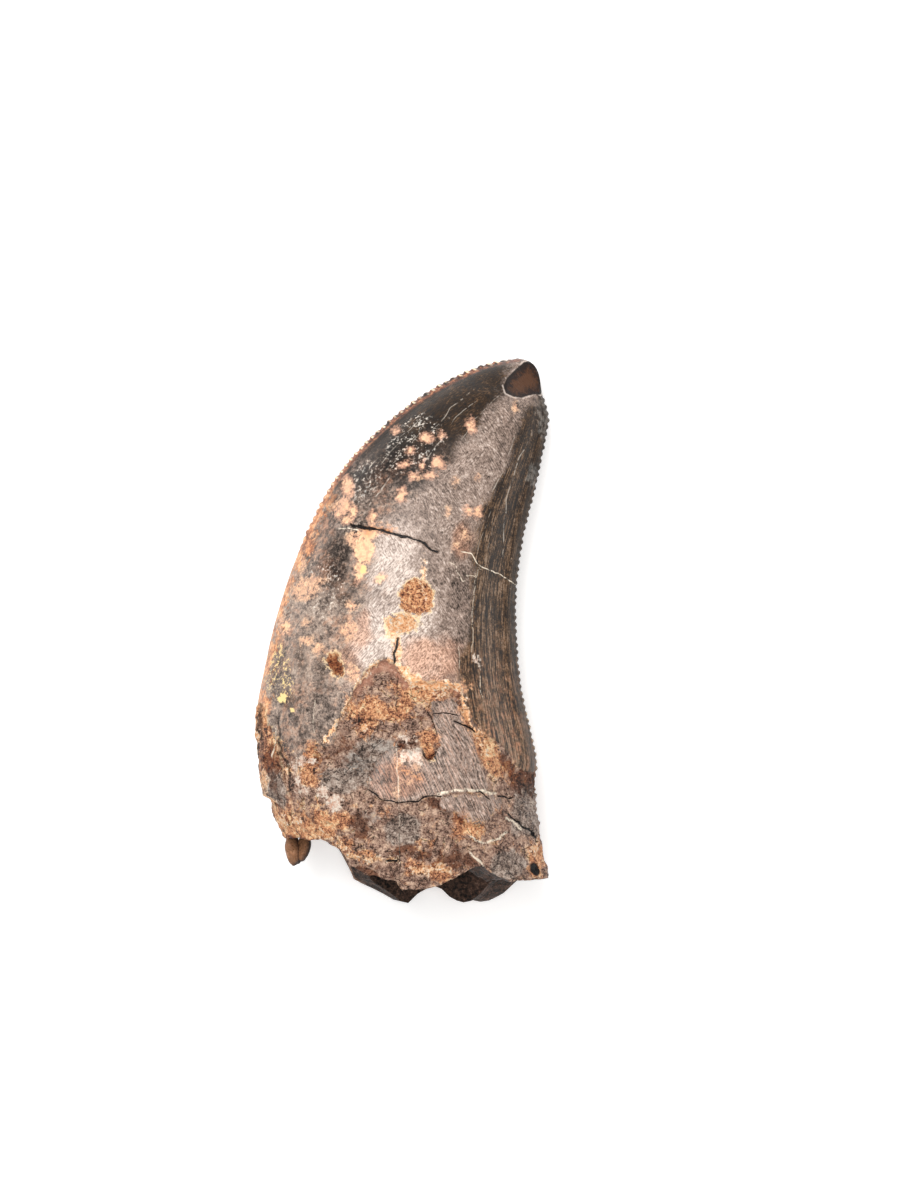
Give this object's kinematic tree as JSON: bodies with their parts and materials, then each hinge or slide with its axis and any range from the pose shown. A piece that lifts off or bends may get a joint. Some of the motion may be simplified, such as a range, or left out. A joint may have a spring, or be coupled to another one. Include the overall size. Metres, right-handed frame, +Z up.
{
  "type": "tyrannosaur tooth",
  "caption": "Shed fossil tyrannosaur tooth lying on its side, with saw-toothed cutting edges, a worn tip and a broken root open on its pulp cavity.",
  "frame": {"origin": "bottom centre of the footprint, on the surface that the tooth lies on", "axes": "+Z up from the surface, +Y from the broken root to the tip, -X towards the front (mesial) cutting edge"},
  "size_m": [0.0246, 0.0458, 0.015],
  "materials": {
    "fossil_tooth": "satin brown enamel over a rough, rust-brown root"
  },
  "bodies": {
    "root": {"tooth": "fossil_tooth"}
  },
  "joints": []
}
